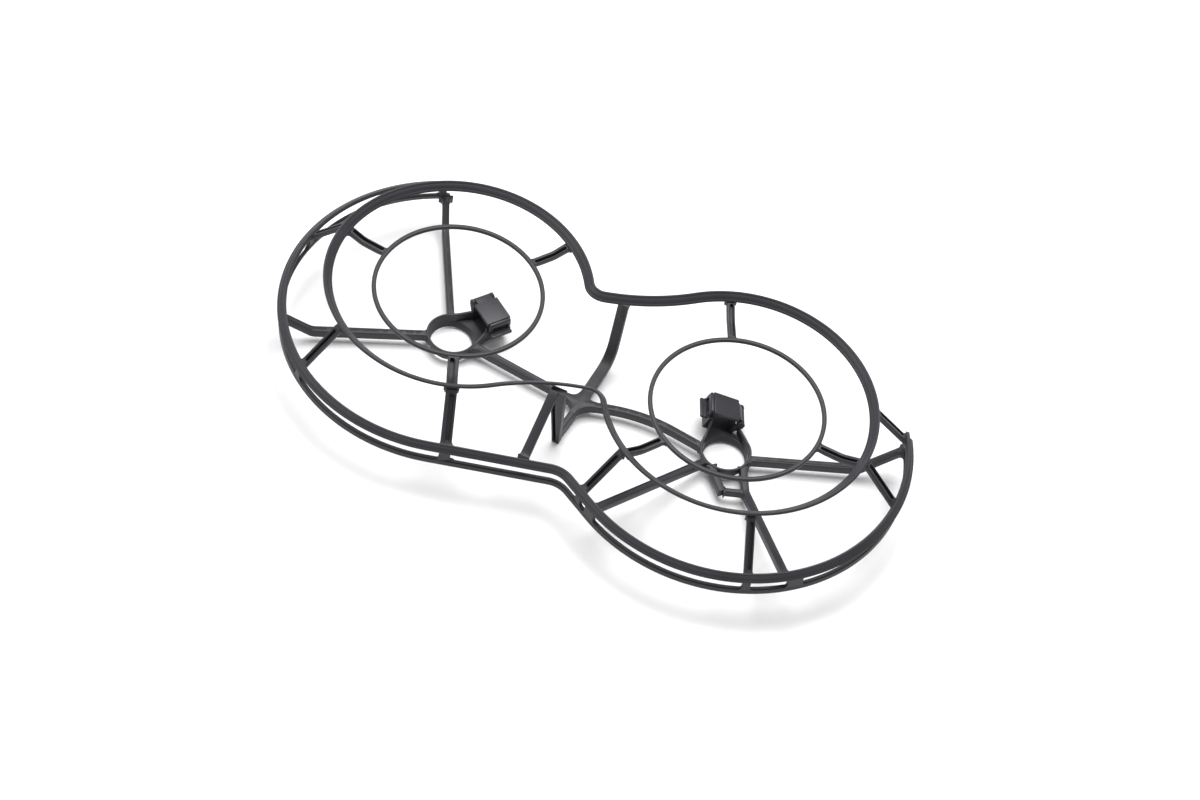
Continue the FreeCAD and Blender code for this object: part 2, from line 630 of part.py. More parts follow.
def cover(lobe, side):
    """The plate that closes over the arm, with the knuckle that turns on the pin."""
    body = clip_body(lobe, f"buckle_cover_{lobe}")
    plate = new_sketch(body, "YZ_Plane")
    hinge_edge = "hinge_v - hinge_radius - 0.6"
    outline(plate, mirrored([
        ("-clip_plate_edge", "clip_plate"), (hinge_edge, "clip_plate"),
        (hinge_edge, "clip_plate + clip_plate_thick"), ("-clip_plate_edge", "clip_plate + clip_plate_thick"),
    ], side))
    doc.recompute()
    extrude(body, plate, "clip_length")
    knuckle = new_sketch(body, "YZ_Plane")
    disc(knuckle, f"{side}*hinge_v", f"hinge_w_{lobe}", "hinge_radius")
    doc.recompute()
    extrude(body, knuckle, "2*knuckle_half")
    tongue = new_sketch(body, "YZ_Plane")
    outline(tongue, mirrored([
        ("hinge_v - 3.4", "clip_plate"), ("hinge_v - 1.4", f"hinge_w_{lobe} + 0.4"),
        ("hinge_v", f"hinge_w_{lobe} + hinge_radius"), ("hinge_v - 2.2", "clip_plate + clip_plate_thick"),
        ("hinge_v - 3.4", "clip_plate + clip_plate_thick"),
    ], side))
    doc.recompute()
    extrude(body, tongue, "2*knuckle_half")
    bore = new_sketch(body, "YZ_Plane")
    disc(bore, f"{side}*hinge_v", f"hinge_w_{lobe}", "pin_radius + pin_play")
    doc.recompute()
    extrude(body, bore, "clip_length", cut=True)
    keep(f"buckle_cover_{lobe}", body)


def latch(lobe, side):
    """The springy lip on the cover's free edge, with a finger tab at its foot."""
    body = clip_body(lobe, f"buckle_latch_{lobe}")
    shape = new_sketch(body, "YZ_Plane")
    inner = "-(clip_plate_edge + latch_gap)"
    outer = "-(clip_plate_edge + latch_gap + latch_thick)"
    top = "clip_plate + clip_plate_thick"
    outline(shape, mirrored([
        (inner, top), (inner, f"{top} - latch_drop - latch_tab_thick"),
        (f"{outer} - latch_tab", f"{top} - latch_drop - latch_tab_thick"),
        (f"{outer} - latch_tab", f"{top} - latch_drop"), (outer, f"{top} - latch_drop"),
        (outer, f"{top} - 1.0"), (f"{outer} + 0.5", top),
    ], side))
    doc.recompute()
    extrude(body, shape, "clip_length - 1.0")
    keep(f"buckle_latch_{lobe}", body)


def arm_bridge(lobe):
    """The trough that carries the saddle out from the cup's wall."""
    distance = f"clip_distance_{lobe}"
    start = f"{distance} - clip_length/2"
    body = new_body(f"arm_bridge_{lobe}_blank", LOBES[lobe]["x"], "axis_y", turn=f"clip_bearing_{lobe}")
    side = new_sketch(body, "XZ_Plane")
    outline(side, [("cup_bore", "2.0"), (start, "clip_floor - clip_floor_thick"),
                   (start, "clip_wall_top - 1.2"), ("cup_bore", "cup_height - 0.4")])
    doc.recompute()
    extrude(body, side, "2*clip_inside + 1.6")
    trough = new_sketch(body, "XZ_Plane")
    outline(trough, [("0", "cup_seat"), ("cup_bore", "cup_seat"), (f"{start} + 0.2", "clip_floor + 0.2"),
                     (f"{start} + 0.2", "20"), ("0", "20")])
    doc.recompute()
    extrude(body, trough, "2*clip_inside - 0.8", cut=True)
    trimmed(f"arm_bridge_{lobe}", body, [plugs[lobe], nodes[f"arm_saddle_{lobe}"]])


HINGE_SIDE = {"rear": 1, "front": -1}
for lobe, side in HINGE_SIDE.items():
    saddle(lobe, side)
    hinge_pin(lobe, side)
    cover(lobe, side)
    latch(lobe, side)
    arm_bridge(lobe)


# ---------------------------------------------------------------- checks and export
doc.recompute()
for thing in doc.Objects:
    if "Invalid" in thing.State or "Error" in thing.State:
        raise RuntimeError(f"{thing.Label} failed: {thing.State}")
for label, thing in nodes.items():
    if thing.Shape.isNull() or not thing.Shape.isValid():
        raise RuntimeError(f"{label} has no valid shape")
    if len(thing.Shape.Solids) != 1:
        print(f"{label} has {len(thing.Shape.Solids)} solids")

os.makedirs("parts", exist_ok=True)
whole = FreeCAD.BoundBox()
for label, thing in nodes.items():
    whole.add(thing.Shape.BoundBox)
    thing.Shape.exportStep(f"parts/{label}.step")
print(f"{len(nodes)} nodes, box {whole}")
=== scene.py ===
"""The looks of a drone's propeller guard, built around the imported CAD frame.

Lengths in this script are millimetres until a mesh is made; Blender's units are metres. The strips,
cups, buckles and struts replace their plain CAD nodes with rounded mouldings; the hinge pins stay.
"""

from math import acos, atan2, cos, degrees, dist, hypot, pi, radians, sin, sqrt, tan

import bmesh
import bpy
from mathutils import Matrix, Vector


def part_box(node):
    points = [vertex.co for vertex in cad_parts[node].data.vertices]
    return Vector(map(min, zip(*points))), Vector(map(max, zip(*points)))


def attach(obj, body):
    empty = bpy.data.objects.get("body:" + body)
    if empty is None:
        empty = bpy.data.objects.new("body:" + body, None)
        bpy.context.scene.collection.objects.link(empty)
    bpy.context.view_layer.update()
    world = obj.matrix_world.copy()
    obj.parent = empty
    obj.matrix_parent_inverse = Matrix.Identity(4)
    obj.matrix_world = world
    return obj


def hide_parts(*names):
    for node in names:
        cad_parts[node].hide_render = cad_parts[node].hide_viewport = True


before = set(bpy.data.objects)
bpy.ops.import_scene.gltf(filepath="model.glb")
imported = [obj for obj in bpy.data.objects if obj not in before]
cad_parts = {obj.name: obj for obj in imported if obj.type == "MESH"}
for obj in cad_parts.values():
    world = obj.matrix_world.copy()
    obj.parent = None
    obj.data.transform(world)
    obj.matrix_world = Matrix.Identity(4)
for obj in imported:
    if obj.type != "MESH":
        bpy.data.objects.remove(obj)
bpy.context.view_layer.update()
MM = 0.001
BODY = "guard_frame"

# ---------------------------------------------------------------- layout, from the frame where it can be


def node_box(node):
    """Lowest and highest corner of a CAD node, in millimetres."""
    low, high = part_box(node)
    return [c / MM for c in low], [c / MM for c in high]


def lobe_middle(lobe):
    low, high = node_box(f"inner_ring_{lobe}")
    return ((low[0] + high[0]) / 2, (low[1] + high[1]) / 2)


MIDDLE = {lobe: lobe_middle(lobe) for lobe in ("rear", "front")}
RING = {"rear": 35.1, "front": 36.0}
LOOP = {"rear": 54.4, "front": 56.0}
RIM = {"rear": 72.4, "front": 73.6}
RIM_SHIFT = {"rear": (0.5, -0.8), "front": (1.2, -1.5)}
RING_HEIGHT = 35.5
LOOP_HEIGHT = 39.9
RIM_HEIGHT = 23.0
RAIL_HEIGHT = 14.8
STRUT_WIDTH = 3.4
BROAD_WIDTH = 4.6
SPOKE_WIDTH = 3.0
SPOKE_DEPTH = 3.9
SPOKE_TOP = 7.2
BOSS_TOP = 6.8
WAIST_TIGHT = 7.0
WAIST_SLACK = 95.0
WAIST_ANGLE = 29.5
RIM_BEND = 11.0
RIM_LEAVE = {"rear": -74.0, "front": -120.5}
RIM_END = {"rear": 118.0, "front": 26.0}

CUP_OUTER = 11.0
CUP_BORE = 9.8
CUP_HOLE = 8.9
CUP_FOOT = 9.4
CUP_BOTTOM = 1.2
CUP_SEAT = 3.6
CUP_SKIRT = 5.2
CUP_TOP = 7.5
GATE_HALF = 66.0

CLIP = {
    "rear": {"distance": 18.3, "bearing": 54.0, "roll": 0.0, "hinge_w": 12.4, "side": 1},
    "front": {"distance": 17.6, "bearing": 113.0, "roll": 20.0, "hinge_w": 10.8, "side": -1},
}
CLIP_PLATE = 12.8


def polar(centre, radius, bearing):
    angle = radians(bearing)
    return (centre[0] + radius * cos(angle), centre[1] + radius * sin(angle))


def between(x, y):
    """A point given from midway between the propellers."""
    return ((MIDDLE["rear"][0] + MIDDLE["front"][0]) / 2 + x, MIDDLE["rear"][1] + y)


BOSS = between(-0.8, -6.6)
FOOT = between(-2.6, -24.6)
NEAR_TOP = between(-5.4, -31.6)
NEAR_RIM = between(-6.0, -57.3)
FAR_TOP = between(1.1, 26.6)
REAR_ARM_START = (MIDDLE["rear"][0], MIDDLE["rear"][1] + 0.6)
FRONT_ARM_CREST = (MIDDLE["front"][0] - 37.5, MIDDLE["front"][1] + 1.6)
BRACKET_CORNER = polar(MIDDLE["front"], 22.0, -45.5)
BRACKET_KNEE = polar(MIDDLE["front"], 20.4, -73.0)

# ---------------------------------------------------------------- materials


def plastic(name, colour, grain, roughness):
    """Moulded plastic: a fine spark-eroded grain, faint flow marks and a little change in its sheen."""
    material = bpy.data.materials.new(name)
    material.use_nodes = True
    tree = material.node_tree
    nodes = tree.nodes
    links = tree.links
    shader = nodes["Principled BSDF"]
    shader.inputs["Specular IOR Level"].default_value = 0.36
    place = nodes.new("ShaderNodeTexCoord")
    flow = nodes.new("ShaderNodeTexNoise")
    flow.inputs["Scale"].default_value = 60
    flow.inputs["Detail"].default_value = 3
    links.new(place.outputs["Object"], flow.inputs["Vector"])
    tint = nodes.new("ShaderNodeValToRGB")
    tint.color_ramp.elements[0].position = 0.3
    tint.color_ramp.elements[1].position = 0.7
    tint.color_ramp.elements[0].color = (*[0.88 * c for c in colour], 1)
    tint.color_ramp.elements[1].color = (*[1.12 * c for c in colour], 1)
    links.new(flow.outputs["Fac"], tint.inputs["Fac"])
    links.new(tint.outputs["Color"], shader.inputs["Base Color"])
    sheen = nodes.new("ShaderNodeMapRange")
    sheen.inputs["To Min"].default_value = roughness - 0.06
    sheen.inputs["To Max"].default_value = roughness + 0.06
    links.new(flow.outputs["Fac"], sheen.inputs["Value"])
    links.new(sheen.outputs["Result"], shader.inputs["Roughness"])
    texture = nodes.new("ShaderNodeTexNoise")
    texture.inputs["Scale"].default_value = grain
    texture.inputs["Detail"].default_value = 2
    links.new(place.outputs["Object"], texture.inputs["Vector"])
    bump = nodes.new("ShaderNodeBump")
    bump.inputs["Strength"].default_value = 0.25
    bump.inputs["Distance"].default_value = 0.00006
    links.new(texture.outputs["Fac"], bump.inputs["Height"])
    links.new(bump.outputs["Normal"], shader.inputs["Normal"])
    return material


def wire(name):
    """Blackened steel wire for the hinge pins."""
    material = bpy.data.materials.new(name)
    material.use_nodes = True
    nodes = material.node_tree.nodes
    links = material.node_tree.links
    shader = nodes["Principled BSDF"]
    shader.inputs["Metallic"].default_value = 1.0
    streaks = nodes.new("ShaderNodeTexNoise")
    streaks.inputs["Scale"].default_value = 900
    shade = nodes.new("ShaderNodeValToRGB")
    shade.color_ramp.elements[0].color = (0.05, 0.05, 0.055, 1)
    shade.color_ramp.elements[1].color = (0.09, 0.09, 0.095, 1)
    links.new(streaks.outputs["Fac"], shade.inputs["Fac"])
    links.new(shade.outputs["Color"], shader.inputs["Base Color"])
    links.new(streaks.outputs["Fac"], shader.inputs["Roughness"])
    return material


CHARCOAL = (0.0255, 0.025, 0.030)
CAGE = plastic("cage_plastic", CHARCOAL, 4000, 0.48)
BUCKLE = plastic("buckle_plastic", [1.15 * c for c in CHARCOAL], 5000, 0.4)
PIN = wire("pin_steel")

# ---------------------------------------------------------------- making pieces


def finish_piece(name, bm, material, body, nodes, crease=32, bevel=0.0):
    """A piece from a bmesh in millimetres: shaded, rounded, and tied to the frame."""
    mesh = bpy.data.meshes.new(name)
    bmesh.ops.recalc_face_normals(bm, faces=bm.faces)
    bm.to_mesh(mesh)
    bm.free()
    mesh.transform(Matrix.Scale(MM, 4))
    mesh.shade_smooth()
    mesh.set_sharp_from_angle(angle=radians(crease))
    piece = bpy.data.objects.new(name, mesh)
    bpy.context.scene.collection.objects.link(piece)
    mesh.materials.append(material)
    if bevel:
        rounding = piece.modifiers.new("rounding", "BEVEL")
        rounding.width = bevel * MM
        rounding.segments = 2
        rounding.limit_method = "ANGLE"
        rounding.angle_limit = radians(40)
        rounding.harden_normals = True
    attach(piece, body)
    if nodes:
        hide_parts(*nodes)
    return piece


def skin(bm, rings, closed=False, capped=True):
    """Faces from each ring of corners to the next, round to the first again or capped at both ends."""
    pairs = list(zip(rings, rings[1:]))
    if closed:
        pairs.append((rings[-1], rings[0]))
    count = len(rings[0])
    for one, following in pairs:
        for k in range(count):
            m = (k + 1) % count
            bm.faces.new((one[k], one[m], following[m], following[k]))
    if capped and not closed:
        bm.faces.new(rings[0])
        bm.faces.new(rings[-1])


def sweep(name, path, section, height, nodes, closed, narrowing=None):
    """A strip: the section carried along plan points, its first axis to the right of the way."""
    bm = bmesh.new()
    rings = []
    for x, y, heading in path:
        right = (sin(heading), -cos(heading))
        outline = section if narrowing is None else narrowing(x, y)
        rings.append([bm.verts.new((x + a * right[0], y + a * right[1], height + b)) for a, b in outline])
    skin(bm, rings, closed)
    finish_piece(name, bm, CAGE, BODY, nodes, crease=50)


def arc(centre, radius, start, turn, step=2.0):
    """Plan points on an arc from a bearing through a turn, each with its heading."""
    count = max(2, int(abs(turn) / step))
    way = 90 if turn > 0 else -90
    points = []
    for k in range(count + 1):
        bearing = start + turn * k / count
        points.append((*polar(centre, radius, bearing), radians(bearing + way)))
    return points


def bearing_of(start, end):
    return degrees(atan2(end[1] - start[1], end[0] - start[0]))


def joined(*stretches):
    """One path from several, without their shared end points."""
    path = []
    for stretch in stretches:
        path += stretch if not path else stretch[1:]
    return path


def strip_section(width, thick, tilt, corner, lines=(), line_depth=0.16, line_half=0.16):
    """A strip's section with rounded corners, scored lengthwise on its upper face."""
    half = width / 2
    over = thick / 2
    outline = []
    for a, b, turn in ((half, -over, -90), (half, over, 0)):
        for k in range(4):
            angle = radians(turn + 30 * k)
            outline.append((a - corner * (1 - cos(angle)) if a > 0 else a,
                            b + (corner if b < 0 else -corner) + corner * sin(angle)))
    for line in sorted(lines, reverse=True):
        outline += [(line + line_half, over), (line, over - line_depth), (line - line_half, over)]
    for a, b, turn in ((-half, over, 90), (-half, -over, 180)):
        for k in range(4):
            angle = radians(turn + 30 * k)
            outline.append((a + corner * (1 + cos(angle)),
                            b + (corner if b < 0 else -corner) + corner * sin(angle)))
    slope = radians(tilt)
    return [(a * cos(slope) - b * sin(slope), a * sin(slope) + b * cos(slope)) for a, b in outline]


# ---------------------------------------------------------------- rings, loop and rim
def build_rings():
    section = strip_section(width=1.9, thick=1.8, tilt=0, corner=0.55)
    for lobe in ("rear", "front"):
        path = arc(MIDDLE[lobe], RING[lobe], 0, 360)[:-1]
        sweep(f"ring_{lobe}", path, section, RING_HEIGHT, [f"inner_ring_{lobe}"], True)


def loop_waist(tight_lobe, slack_lobe, turn):
    """Centres of the loop's two bends on one side, and the bearing where the slack one starts."""
    bend = polar(MIDDLE[tight_lobe], LOOP[tight_lobe] + WAIST_TIGHT, turn)
    reach = LOOP[slack_lobe] + WAIST_SLACK
    apart = dist(MIDDLE[slack_lobe], bend)
    inside = (reach ** 2 + apart ** 2 - (WAIST_SLACK - WAIST_TIGHT) ** 2) / (2 * reach * apart)
    heading = bearing_of(MIDDLE[slack_lobe], bend) - degrees(acos(inside))
    return bend, polar(MIDDLE[slack_lobe], reach, heading), heading


def build_loop():
    """The figure-eight strip: round each lobe, with a slack and a tight bend at each waist."""
    stretches = []
    for here, there, turn in (("rear", "front", WAIST_ANGLE), ("front", "rear", WAIST_ANGLE - 180)):
        heading = loop_waist(there, here, turn + 180)[2]
        stretches.append(arc(MIDDLE[here], LOOP[here], turn, (heading - turn) % 360))
        tight, slack, _ = loop_waist(there, here, turn + 180)
        meeting = bearing_of(slack, tight)
        start = heading + 180
        stretches.append(arc(slack, WAIST_SLACK, start, -((start - meeting) % 360), 1.0))
        stop = turn + 360
        stretches.append(arc(tight, WAIST_TIGHT, meeting, -((meeting - stop) % 360), 6.0))
    path = joined(*stretches)[:-1]
    middle = between(0, 0)

    def narrowing(x, y):
        """The strip is slimmer round its near waist."""
        slim_half, ease, slimmest = 8, 22, 0.6
        away = min(1, max(0, (abs(x - middle[0]) - slim_half) / ease)) if y < middle[1] else 1
        share = slimmest + (1 - slimmest) * away
        return strip_section(width=4.6 * share, thick=1.2, tilt=42, corner=0.35,
                             lines=(-1.1 * share, 1.1 * share), line_depth=0.07)

    sweep("loop", path, None, LOOP_HEIGHT, ["loop_rear", "loop_front", "loop_waist_far", "loop_waist_near"],
          True, narrowing)


def rim_middle(lobe):
    return tuple(m + s for m, s in zip(MIDDLE[lobe], RIM_SHIFT[lobe]))


def build_rim():
    """The bumper's two rails: an arc, a straight run, the waist's bend, a run and the second arc."""
    rear = polar(rim_middle("rear"), RIM["rear"], RIM_LEAVE["rear"])
    front = polar(rim_middle("front"), RIM["front"], RIM_LEAVE["front"])
    slope_rear = tan(radians(RIM_LEAVE["rear"] + 90))
    slope_front = tan(radians(RIM_LEAVE["front"] + 90))
    x = (front[1] - rear[1] + slope_rear * rear[0] - slope_front * front[0]) / (slope_rear - slope_front)
    corner = (x, rear[1] + slope_rear * (x - rear[0]))
    bend = RIM_LEAVE["rear"] - RIM_LEAVE["front"]
    run = dist(rear, corner) - RIM_BEND * tan(radians(bend / 2))
    first = arc(rim_middle("rear"), RIM["rear"], RIM_END["rear"], 360 + RIM_LEAVE["rear"] - RIM_END["rear"])
    heading = radians(RIM_LEAVE["rear"] + 90)
    bend_start = (rear[0] + run * cos(heading), rear[1] + run * sin(heading))
    centre = polar(bend_start, RIM_BEND, RIM_LEAVE["rear"])
    waist = arc(centre, RIM_BEND, RIM_LEAVE["rear"] + 180, -bend, 5.0)
    last = arc(rim_middle("front"), RIM["front"], RIM_LEAVE["front"], RIM_END["front"] - RIM_LEAVE["front"])
    path = first + waist + last
    stretches = ("rear", "waist", "front")
    upper = strip_section(width=3.9, thick=1.8, tilt=-40, corner=0.4, lines=(-0.95, 0.95), line_depth=0.07)
    sweep("rim_upper", path, upper, RIM_HEIGHT, [f"rim_upper_{part}" for part in stretches], False)
    lower = strip_section(width=3.0, thick=1.5, tilt=-76, corner=0.35, lines=(-0.95,), line_depth=0.5,
                          line_half=0.35)
    sweep("rim_lower", path, lower, RAIL_HEIGHT, [f"rim_lower_{part}" for part in stretches], False)


# ---------------------------------------------------------------- bars with filleted ends
def interpolate(pairs, s):
    """The value at a distance, from pairs of distance and value."""
    if s <= pairs[0][0]:
        return pairs[0][1]
    for (s0, v0), (s1, v1) in zip(pairs, pairs[1:]):
        if s <= s1:
            return v0 + (v1 - v0) * (s - s0) / (s1 - s0)
    return pairs[-1][1]


def eased(pairs, s, ease=1.3):
    """The value at a distance, with the knees between the straight runs rounded off."""
    return sum(interpolate(pairs, s + ease * k / 4) for k in range(-4, 5)) / 9


def along_path(points, s):
    """The point and direction at a distance along plan points."""
    for k, (a, b) in enumerate(zip(points, points[1:])):
        run = dist(a, b)
        if s <= run or k == len(points) - 2:
            way = ((b[0] - a[0]) / run, (b[1] - a[1]) / run)
            return (a[0] + way[0] * s, a[1] + way[1] * s), way
        s -= run


def path_length(points):
    return sum(dist(a, b) for a, b in zip(points, points[1:]))


def bar(name, points, top, depth, width, nodes, groove=None, fillets=(None, None), corner=0.35, start=0.0,
        end=None):
    """A moulded bar along plan points, under a top edge given by distances and heights.

    The depth is one number, or distances with their depths.
    A fillet is the distance at which a neighbour's side lies and a radius: the bar spreads into it there.
    A groove is its width, its depth, its first and last distance and its offset from the middle.
    """
    end = path_length(points) if end is None else end
    stations = {start, end}
    parts = int(end - start + 1)
    stations |= {start + (end - start) * k / parts for k in range(parts)}
    for fillet, way in zip(fillets, (1, -1)):
        if fillet:
            stations |= {fillet[0] + way * fillet[1] * part for part in (0, 0.05, 0.15, 0.3, 0.5, 0.75, 1)}
    if groove:
        reach = groove[0] / 2
        stations |= {groove[2] + reach * part for part in (-0.01, 0.02, 0.2, 0.5, 1)}
        stations |= {groove[3] - reach * part for part in (-0.01, 0.02, 0.2, 0.5, 1)}
    bm = bmesh.new()
    rings = []
    for s in sorted(s for s in stations if start <= s <= end):
        (x, y), way = along_path(points, s)
        if len(points) > 2:
            before = along_path(points, max(0, s - 1.5))[0]
            after = along_path(points, s + 1.5)[0]
            run = dist(before, after)
            way = ((after[0] - before[0]) / run, (after[1] - before[1]) / run)
        half = width / 2
        for fillet, sign in zip(fillets, (1, -1)):
            if fillet:
                gap = max(0, sign * (s - fillet[0]))
                if gap < fillet[1]:
                    half += fillet[1] - sqrt(fillet[1] ** 2 - (fillet[1] - gap) ** 2)
        high = eased(top, s)
        low = high - (eased(depth, s) if isinstance(depth, list) else depth)
        cut, cut_depth, offset = 0.05, 0.02, groove[4] if groove else 0.0
        if groove and groove[2] < s < groove[3]:
            inset = min(s - groove[2], groove[3] - s, groove[0] / 2)
            cut = max(0.05, sqrt((groove[0] / 2) ** 2 - (groove[0] / 2 - inset) ** 2))
            cut_depth = groove[1]
        lip = 0.1
        notch = [(offset + cut + lip, high), (offset + cut, high - min(lip, cut_depth)),
                 (offset + cut, high - cut_depth), (offset - cut, high - cut_depth),
                 (offset - cut, high - min(lip, cut_depth)), (offset - cut - lip, high)] if groove else []
        section = [(half, high - corner), (half - 0.3 * corner, high - 0.3 * corner), (half - corner, high),
                   *notch,
                   (corner - half, high), (0.3 * corner - half, high - 0.3 * corner), (-half, high - corner),
                   (-half, low + corner), (0.3 * corner - half, low + 0.3 * corner), (corner - half, low),
                   (half - corner, low), (half - 0.3 * corner, low + 0.3 * corner), (half, low + corner)]
        rings.append([bm.verts.new((x + a * way[1], y - a * way[0], z)) for a, z in section])
    skin(bm, rings)
    finish_piece(name, bm, CAGE, BODY, nodes, crease=45)


# ---------------------------------------------------------------- struts
def rim_reach(lobe, bearing):
    """How far the rim's middle lies from its propeller's axis at a bearing."""
    shift_x, shift_y = RIM_SHIFT[lobe]
    angle = radians(bearing)
    along = shift_x * cos(angle) + shift_y * sin(angle)
    off = shift_y * cos(angle) - shift_x * sin(angle)
    return along + sqrt(RIM[lobe] ** 2 - off ** 2)


def ray(lobe, bearing, reach):
    """A straight plan line out from a propeller's axis."""
    return [MIDDLE[lobe], polar(MIDDLE[lobe], reach, bearing)]


def inner_strut(lobe, name, bearing, width):
    """From the small ring out to the loop, with a knee on the way."""
    ring, loop = RING[lobe], LOOP[lobe]
    knee = ring + 11.3
    top = [(ring, RING_HEIGHT + 0.5), (knee, RING_HEIGHT + 0.6), (loop - 1.5, LOOP_HEIGHT - 1.5)]
    depth = [(ring, 1.7), (ring + 3, 2.4), (knee, 2.4), (loop, 3.0)]
    bar(f"inner_strut_{name}_channel", ray(lobe, bearing, loop), top, depth, width, [f"inner_strut_{name}"],
        groove=(width * 0.42, 1.9, ring + 1.7, loop - 2.3, 0.1 * width),
        fillets=((ring + 0.7, 1.2), (loop - 1.0, 0.9)), start=ring + 0.5, end=loop - 0.9)


def outer_strut(lobe, name, bearing, width):
    """From the loop out and down to the rim, and on as a post between its two rails."""
    loop, rim = LOOP[lobe], rim_reach(lobe, bearing)
    top = [(loop, LOOP_HEIGHT + 0.1), (loop + 1.6, LOOP_HEIGHT + 0.1), (rim - 1.4, RIM_HEIGHT + 1.0)]
    drop = (LOOP_HEIGHT - RIM_HEIGHT) / (rim - loop)
    bar(f"outer_strut_{name}_channel", ray(lobe, bearing, rim), top, 3.1 + 0.25 * drop, width,
        [f"outer_strut_{name}"], groove=(width * 0.46, 2.3, loop + 2.6, rim - 2.6, -0.08 * width),
        fillets=((loop + 1.0, 0.6), (rim - 0.8, 1.9)), start=loop + 0.9, end=rim - 0.7)
    rim_post(name, lobe, bearing, width)


def rim_post(name, lobe, bearing, width, nodes=()):
    """A short upright between the rim's rails, spreading into both."""
    rim = rim_reach(lobe, bearing)
    middle = polar(MIDDLE[lobe], rim, bearing)
    out = (cos(radians(bearing)), sin(radians(bearing)))
    across = (-out[1], out[0])
    low, high = RAIL_HEIGHT + 0.9, RIM_HEIGHT + 0.3
    spread, half_thick, steps = 2.0, 0.8, 12
    bm = bmesh.new()
    rings = []
    for k in range(steps + 1):
        z = low + (high - low) * k / steps
        gap = min(z - low, high - z)
        half = width / 2 + spread - sqrt(spread ** 2 - max(0, spread - gap) ** 2)
        section = [(half, half_thick), (half, -half_thick), (-half, -half_thick), (-half, half_thick)]
        rings.append([bm.verts.new((middle[0] + a * across[0] + b * out[0],
                                    middle[1] + a * across[1] + b * out[1], z)) for a, b in section])
    skin(bm, rings)
    finish_piece(f"rim_post_{name}_web", bm, CAGE, BODY, list(nodes), crease=60, bevel=0.25)


def build_struts():
    for lobe, name, bearing, width in (
            ("rear", "rear_left", 174, STRUT_WIDTH), ("rear", "rear_far", 55, STRUT_WIDTH),
            ("rear", "rear_near", -68, BROAD_WIDTH), ("front", "front_far", 115, STRUT_WIDTH),
            ("front", "front_near", -124.5, STRUT_WIDTH), ("front", "front_right", -3, STRUT_WIDTH)):
        inner_strut(lobe, name, bearing, width)
    for lobe, name, bearing, width in (
            ("rear", "rear_left", 174, STRUT_WIDTH), ("rear", "rear_corner", -126, STRUT_WIDTH),
            ("rear", "rear_near", -68, BROAD_WIDTH), ("front", "front_near", -124.5, STRUT_WIDTH),
            ("front", "front_middle", -63.5, STRUT_WIDTH), ("front", "front_right", -3, STRUT_WIDTH),
            ("front", "front_end", RIM_END["front"] - 1.5, STRUT_WIDTH)):
        outer_strut(lobe, name, bearing, width)
    rim_post("rear_end", "rear", RIM_END["rear"] + 1.3, 3.0, ["rim_post_rear_end"])
    rim_post("front_left", "front", -118.2, 5.6, ["rim_post_front_left"])
    rim_post("front_middle", "front", -48.2, 6.6, ["rim_post_front_middle"])
    reach = dist(NEAR_TOP, NEAR_RIM)
    bar("waist_strut_near_channel", [NEAR_TOP, NEAR_RIM],
        [(0, LOOP_HEIGHT + 0.3), (1.4, LOOP_HEIGHT + 0.1), (reach - 1.4, RIM_HEIGHT + 1.0)], 3.4, 3.8,
        ["waist_strut_near"],
        fillets=((0.9, 0.3), (reach - 0.5, 1.2)), start=0.8, end=reach - 0.6)


# ---------------------------------------------------------------- spokes, bracket and foot bar
def spoke(name, points, top, first, last, nodes=None, end=None):
    """A flat spoke with a line scored along one side of its upper face."""
    reach = path_length(points)
    begin = first[0] if first else 0
    stop = last[0] if last else reach
    bar(f"spoke_{name}_flat", points, top, SPOKE_DEPTH, SPOKE_WIDTH, nodes or [f"spoke_{name}"],
        groove=(0.26, 0.16, begin + 2, stop - 2, 0.62), fillets=(first, last),
        start=begin - 0.9, end=stop + 0.6 if end is None else end)


